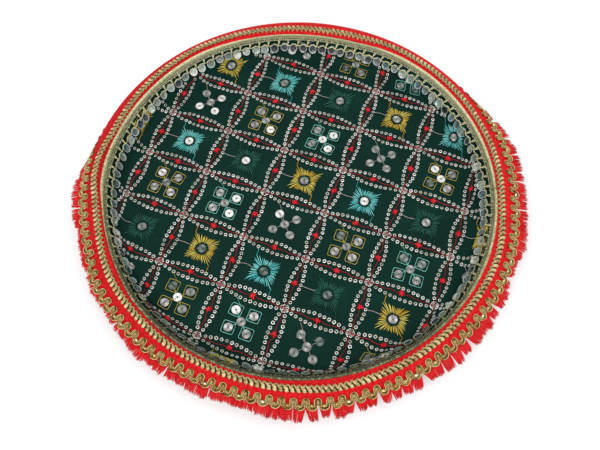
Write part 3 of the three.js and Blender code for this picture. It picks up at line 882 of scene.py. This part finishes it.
def spangles():
    """Clear cups in a row. At the back, where little light comes through them, they are dark."""
    cup = turned([(0.35, 0.0), (1.4, 0.02), (2.4, 0.16), (3.0, 0.42), (CUP_RADIUS, 0.66), (3.18, 0.68),
                  (2.4, 0.36)], 28)
    k = np.arange(SPANGLES)
    u = k * SPANGLE_STEP + rng.normal(0, 0.35, SPANGLES)
    s = SPANGLE_MIDDLE + rng.normal(0, 0.45, SPANGLES)
    spots = joined(u, s, SPANGLE_LOW - 0.2 + 0.25 * (k % 2))
    tilt = rng.normal(0, 0.12, (SPANGLES, 2))
    back, reach = DARK_SPANGLES
    behind = np.abs(k / SPANGLES * 360 - back) < reach
    tone = np.where(behind, rng.uniform(-0.2, 0.25, SPANGLES), rng.uniform(0.15, 0.95, SPANGLES))
    piece = Piece(wrap_lace)
    piece.add(copies(cup, spots, tilt=tilt, size=rng.uniform(0.92, 1.06, SPANGLES)), tone)
    piece.make("spangle_cups", spangle, "clear_spangle", ["spangle_row"])


# Embroidered lattice
LONG_WAY = (math.cos(LATTICE_TURN), math.sin(LATTICE_TURN))
SHORT_WAY = (math.sin(LATTICE_TURN), -math.cos(LATTICE_TURN))
LINES = range(-5, 6)


def on_lattice(long, short, lift):
    """Places on the spread-out cloth from distances along the lattice's long and short way."""
    return joined(*[long * a + short * b for a, b in zip(LONG_WAY, SHORT_WAY)], lift)


def out(points):
    """How far points are from the axis."""
    return np.hypot(points[..., 0], points[..., 1])


def within(points, most=FIELD_EDGE - 0.4):
    """Draws points that reach past the edge of the field back onto it."""
    points = points.copy()
    points[..., :2] *= np.minimum(1, most / np.maximum(out(points), 1e-6))[..., None]
    return points


def sewn(spots, angle, t, arch, reach=1.0):
    """Short stitches from spots at angles, through shares of their reach and the heights of an arch."""
    way = joined(np.cos(angle), np.sin(angle), 0)[:, None]
    along = np.asarray(t)[:, None] * np.reshape(reach, (-1, 1, 1))
    return spots[:, None] + way * along + np.asarray(arch)[:, None] * (0, 0, 1)


def lattice_sides():
    """Every side of every cell: if it runs the long way, its line's offset, its start and its length."""
    long, short = (CELL_LONG, SHIFT_LONG), (CELL_SHORT, SHIFT_SHORT)
    for runs_long, (spacing, shift), (cell, cell_shift) in ((True, short, long), (False, long, short)):
        for line in LINES:
            offset = line * spacing - shift
            if abs(offset) <= LATTICE_EDGE:
                for k in LINES:
                    yield runs_long, offset, k * cell - cell_shift, cell


def side_point(runs_long, offset, t, away, lift):
    if runs_long:
        return on_lattice(t, offset + away, lift)
    return on_lattice(offset + away, t, lift)


def crossing_spots():
    long = np.array(LINES)[:, None] * CELL_LONG - SHIFT_LONG
    short = np.array(LINES) * CELL_SHORT - SHIFT_SHORT
    spots = on_lattice(long, short, STITCH_LOW + 0.35).reshape(-1, 3)
    return spots[out(spots) < LATTICE_EDGE - 3]


def lattice():
    """Twin rows of sequins with a red cord between, knotted halfway along each side of a cell."""
    spots, wires, knots = [], [], []
    inset, wave_length, spill = 0.75, 13, 24
    for runs_long, offset, start, cell in lattice_sides():
        count = round(cell / SEQUIN_PITCH) - 1
        f = (np.arange(count) + 0.5) / count
        for side in (-1, 1):
            away = side * (ROW_WAIST + ROW_GAP * np.sin(math.pi * f) ** 0.9 - inset)
            spots.append(side_point(runs_long, offset, start + cell * f, away, STITCH_LOW + 0.1))
        t = np.linspace(0, 1, 25)
        wave = 0.5 * np.sin(t * TURN * cell / wave_length + offset) + rng.normal(0, 0.16, 25)
        wave = wave * np.sin(math.pi * t) ** 0.4
        wires.append(side_point(runs_long, offset, start + cell * t, wave, STITCH_LOW + 0.45))
        knots.append(side_point(runs_long, offset, start + cell / 2, rng.normal(0, 0.3), STITCH_LOW + 0.3))

    ring = turned([(0.72, 0.05), (0.86, 0.24), (1.05, 0.24), (1.25, 0.02)], 14)
    spots = np.concatenate(spots)
    spots[:, :2] += rng.normal(0, 0.12, (len(spots), 2))
    spots = spots[out(spots) < LATTICE_EDGE]
    half = len(spots) // 2
    for number, chosen, nodes in ((1, spots[:half], ["sequin_lattice"]), (2, spots[half:], [])):
        tone = np.clip(rng.normal(0.66, 0.11, len(chosen)), 0.3, 0.95)
        tilt = rng.normal(0, 0.1, (len(chosen), 2))
        piece = Piece().add(copies(ring, chosen, tilt=tilt, size=rng.uniform(0.92, 1.06, len(chosen))), tone)
        piece.make(f"lattice_rings_{number}", ring_silver, "silver_sequin", nodes)

    stitches = Piece()
    paths = sewn(spots, rng.uniform(0, TURN, len(spots)), [0.45, 0.85, 1.15, 1.6], [-0.1, 0.32, 0.32, -0.1])
    stitches.add(tubes(paths, 0.12, 4), rng.uniform(0.2, 0.7, len(spots)))
    cross = crossing_spots()
    crosses = len(cross)
    t = np.linspace(-1, 1, 6)
    for turn in np.arange(6) * math.pi / 6:
        angle = turn + rng.normal(0, 0.15, crosses)
        paths = sewn(cross, angle, t, 0.5 - 0.5 * np.abs(t) ** 2, rng.uniform(1.2, 2.4, crosses))
        stitches.add(tubes(paths, 0.15, 4), rng.uniform(0.2, 0.6, crosses))
    stitches.make("lattice_stitches", pale_thread, "silver_sequin")

    wires = np.array(wires)
    wires = within(wires[out(wires).max(1) < LATTICE_EDGE + spill], LATTICE_EDGE + 1)
    cords = Piece().add(tubes(wires, 0.3, 6, flat=0.8), rng.uniform(0.35, 0.6, len(wires)))
    loose = wires + rng.normal(0, 0.22, wires.shape) * (1, 1, 0) + (0, 0, 0.25)
    cords.add(tubes(within(loose, LATTICE_EDGE + 1), 0.14, 4), rng.uniform(0.5, 1, len(wires)))
    t = np.linspace(-0.4, 1, 5)
    for _ in range(5):
        angle = rng.uniform(0, TURN, crosses)
        paths = sewn(cross, angle, t, [0.2, 0.5, 0.55, 0.4, 0.0], rng.uniform(1.8, 3.4, crosses))
        cords.add(tubes(paths, 0.15, 4), rng.uniform(0.7, 1.1, crosses))
    cords.make("couching_cords", couching, "red_thread", ["couching_thread"])

    knots = np.array(knots)
    knots = knots[out(knots) < LATTICE_EDGE - 1.5]
    tied = Piece()
    t = np.linspace(0, 1, 5)
    thick = np.array([0.5, 0.7, 0.72, 0.55, 0.2])
    for turn in np.arange(7) * TURN / 7:
        angle = turn + rng.normal(0, 0.2, len(knots))
        paths = sewn(knots, angle, t, [0.9, 0.85, 0.6, 0.3, 0.0], rng.uniform(1.9, 2.9, len(knots)))
        tied.add(tubes(paths, thick, 6), rng.uniform(0.35, 0.7, len(knots)))
    tied.make("couching_knots", knot_red, "red_thread")


# Motifs
def disc_shape():
    """A round sequin with pressed rings. Its grain is the radius and a painted glint that turns with the
    angle.
    """
    r = np.linspace(DISC_HOLE, DISC_RADIUS, 9)
    height = 0.12 + 0.07 * np.cos(TURN * (r - DISC_HOLE)) + 0.12 * (r / DISC_RADIUS) ** 2
    shape = turned([*zip(r, height), (DISC_RADIUS, 0.0)], 36)
    x, y, _ = shape.points.T
    return shape._replace(grain=joined(shape.grain[:, 0], np.cos(2 * np.arctan2(y, x))))


def disc_tones(count):
    """Some of the discs are clear, some bright and most dull, picked at random."""
    clear, dull, bright = 0.16, 0.5, 0.9
    kind = rng.choice(3, count, p=(0.22, 0.62, 0.16))
    return np.clip(np.array([clear, dull, bright])[kind] + rng.normal(0, 0.07, count), 0, 1)


DISC = disc_shape()
DOTS = [(x * DOT_SPREAD, y * DOT_SPREAD) for x, y in ((1, 1), (-1, 1), (-1, -1), (1, -1))]


def laid_at(centre):
    def lay(points):
        x, y, lift = points.T
        return drape(within(on_lattice(x + centre[0], y + centre[1], lift)))
    return lay


def bent_line(points, steps):
    """Points along a line through a few others, as many between each two of them."""
    points = np.asarray(points, float)
    t = np.linspace(0, len(points) - 1, steps)
    return joined(*[np.interp(t, np.arange(len(points)), line) for line in points.T])


def jump(start, end):
    """The thread that the machine leaves on its way to the next motif."""
    t = np.linspace(0, 1, 7)[:, None]
    start, end = np.array([*start, STITCH_LOW + 0.3]), np.array([*end, STITCH_LOW + 0.35])
    sag = np.array([rng.normal(0, 0.5), rng.normal(0, 0.5), 0.25])
    return start + (end - start) * t + sag * np.sin(t * math.pi)


def add_discs(name, centre, places):
    """Round sequins, each tied down by a thread. Any that would pass the field's edge is left off."""
    x, y = np.array(places, float).T
    spots = joined(x, y, STITCH_LOW + 0.45)
    spots = spots[out(on_lattice(x + centre[0], y + centre[1], 0)) < FIELD_EDGE - 3.2]
    if not len(spots):
        return
    count = len(spots)
    discs = Piece(laid_at(centre))
    discs.add(copies(DISC, spots, tilt=rng.normal(0, 0.05, (count, 2))), disc_tones(count))
    discs.make(f"{name}_discs", disc_silver, "silver_sequin")
    angle = rng.uniform(0, TURN, count)
    paths = sewn(spots, angle, np.linspace(0, 1, 6), [0.1, 0.5, 0.5, 0.45, 0.35, -0.1], 3.9)
    ties = Piece(laid_at(centre)).add(tubes(paths, 0.14, 5), 0.8)
    ties.make(f"{name}_ties", pale_thread, "silver_sequin")


def sunburst(name, centre, material, slot):
    """Long stitches round a disc, which end in a square whose corners are drawn out."""
    rays, half = 46, 9.3
    angle = TURN * (np.arange(rays) + rng.uniform(-0.25, 0.25, rays)) / rays
    square = half / np.maximum(np.abs(np.cos(angle)), np.abs(np.sin(angle)))
    outer = square * (1 + 0.035 * (square - half)) + rng.normal(0, 0.5, rays)
    inner = rng.uniform(4.4, 5.2, rays)
    swing = rng.normal(0, 0.014, rays)
    t = np.linspace(0, 1, 6)
    r = inner[:, None] + (outer - inner)[:, None] * t
    bent = angle[:, None] + swing[:, None] * t
    lift = STITCH_LOW + 0.15 + 0.5 * np.sin(math.pi * np.clip(t, 0.05, 1)) + rng.uniform(0, 0.25, (rays, 1))
    thick = np.array([0.14, 0.23, 0.27, 0.27, 0.23, 0.1])
    tone = np.where(rng.random(rays) < 0.4, 0.6, 1.0) + rng.normal(0, 0.08, rays)
    piece = Piece(laid_at(centre))
    piece.add(tubes(joined(r * np.cos(bent), r * np.sin(bent), lift), thick, 5, flat=0.7), tone)
    piece.add(tubes([jump((-9.6, -9.6), (-10.4, -16.2)), jump((9.8, 9.8), (10.5, 16.2))], 0.2, 4), 0.4)
    piece.make(f"{name}_rays", material, slot, [name])
    add_discs(name, centre, [(0, 0)])
    grey = Piece(laid_at(centre)).add(tubes([jump((-8.8, 0), (-18.6, 0.2))], 0.22, 4), 0.6)
    grey.make(f"{name}_jump", pale_thread, "silver_sequin")


def frame_path(x, y):
    """A rounded square of thread, a little out of true."""
    half, power, steps = 4.35, 0.25, 28
    angle = TURN * np.arange(steps) / steps
    c, s = np.cos(angle), np.sin(angle)
    px = np.sign(c) * np.abs(c) ** power * half
    py = np.sign(s) * np.abs(s) ** power * half
    wave = rng.normal(0, 0.05, steps)
    lean = rng.normal(0, 0.06)
    return joined(x + px + lean * py + wave, y + py - lean * px, STITCH_LOW + 0.35)


def five_dots(name, centre, material, slot, framed):
    """Five round sequins linked by double threads, the outer four in frames of thread or without."""
    piece = Piece(laid_at(centre))
    low = STITCH_LOW
    end, thick, over, start = (1.0, 0.2, 0.3, (-4.0, -9.5)) if framed else (1.42, 0.11, 0.95, (-1, -1))
    links = []
    for x, y in DOTS:
        for lag in (-0.2, 0.2):
            links.append(bent_line([(x * 0.28 + lag, y * 0.28 - lag, low + 0.5),
                                    (x * 0.6 + lag, y * 0.6, low + 0.5),
                                    (x, y, low + over), (x * end, y * end - lag, low + 0.1)], 8))
    piece.add(tubes(links, thick, 4), 0.5)
    piece.add(tubes([jump(start, (-11.3, -16.2))], 0.2, 4), 0.45)
    if framed:
        piece.add(tubes([frame_path(x, y) for x, y in DOTS], 0.24, 5, closed=True), 0.6)
    piece.make(f"{name}_threads", material, slot, [name])
    add_discs(name, centre, [(0, 0), *DOTS])


MOTIFS = {
    "gold_sunburst": (gold_thread, "gold_thread"),
    "turquoise_sunburst": (turquoise, "turquoise_thread"),
    "green_sunburst": (green_thread, "green_thread"),
    "gold_frames": (frame_gold, "gold_thread"),
    "turquoise_frames": (frame_turquoise, "turquoise_thread"),
    "silver_dots": (pale_thread, "silver_sequin"),
}


def motifs():
    """The motifs, whose names end in their row and column of the lattice."""
    for name in sorted(frame["nodes"]):
        words = name.split("_")
        kind = "_".join(words[:2])
        if kind not in MOTIFS:
            continue
        row, column = (int(word) - NAME_OFFSET for word in words[2:])
        centre = ((column + 0.5) * CELL_LONG - SHIFT_LONG, (row + 0.5) * CELL_SHORT - SHIFT_SHORT)
        if kind.endswith("sunburst"):
            sunburst(name, centre, *MOTIFS[kind])
        else:
            five_dots(name, centre, *MOTIFS[kind], kind.endswith("frames"))


steel_plate()
cloth = lining()
ribbon = tape()
zigzag()
loops()
fringe()
lace()
net()
spangles()
lattice()
motifs()


# Floor, light and camera
AMBIENT = 0.8


def floor():
    half, below = 6.0, -0.0004
    mesh = bpy.data.meshes.new("floor")
    corners = [(x * half, y * half, below) for x, y in ((-1, -1), (1, -1), (1, 1), (-1, 1))]
    mesh.from_pydata(corners, [], [(0, 1, 2, 3)])
    g = Graph("floor_paper", 0.9)
    mesh.materials.append(g.finish(g.ramp(g.noise(3.0, 2.0), [(0.3, 0.975), (0.7, 0.99)])))
    in_scene("floor", mesh)


def softbox(name, place, size, power):
    light = bpy.data.lights.new(name, "AREA")
    light.shape = "DISK"
    light.size = size
    light.energy = power
    made = in_scene(name, light)
    made.location = place
    made.rotation_mode = "QUATERNION"
    made.rotation_quaternion = (-Vector(place)).to_track_quat("-Z", "Y")


def world():
    """Soft light from all round, which the camera and the shiny pieces see as a white backdrop."""
    made = bpy.data.worlds.new("studio")
    g = Nodes(made)
    background = g.tree.nodes["Background"]
    background.inputs[0].default_value = (1, 1, 1, 1)
    seen = g.node("LightPath", {}, "Is Camera Ray")
    for ray in ("Is Glossy Ray", "Is Transmission Ray"):
        seen = g.math("MAXIMUM", seen, g.node("LightPath", {}, ray))
    g.put(background.inputs[1], g.sum(seen, 1 - AMBIENT, AMBIENT))
    bpy.context.scene.world = made


def camera():
    elevation, distance, roll = 64.02 * DEGREE, 0.4841, 1.5 * DEGREE
    target = Vector((0.0012, -0.0248, 0.0016))
    back = Vector((0, -math.cos(elevation), math.sin(elevation)))
    right = Vector((1, 0, 0))
    up = back.cross(right)
    rolled_right = right * math.cos(roll) + up * math.sin(roll)
    rolled_up = up * math.cos(roll) - right * math.sin(roll)
    data = bpy.data.cameras.new("camera")
    data.lens = 39.39
    data.sensor_width = 36
    data.clip_end = 20
    made = in_scene("camera", data)
    axes = Matrix([rolled_right, rolled_up, back]).transposed().to_4x4()
    made.matrix_world = Matrix.Translation(target + back * distance) @ axes
    bpy.context.scene.camera = made


floor()
world()
softbox("key", (-0.5, -1.0, 1.4), 1.2, 13.2)
softbox("fill", (0.9, -0.5, 1.3), 2.2, 7)
camera()
bpy.context.scene.view_settings.view_transform = "Standard"
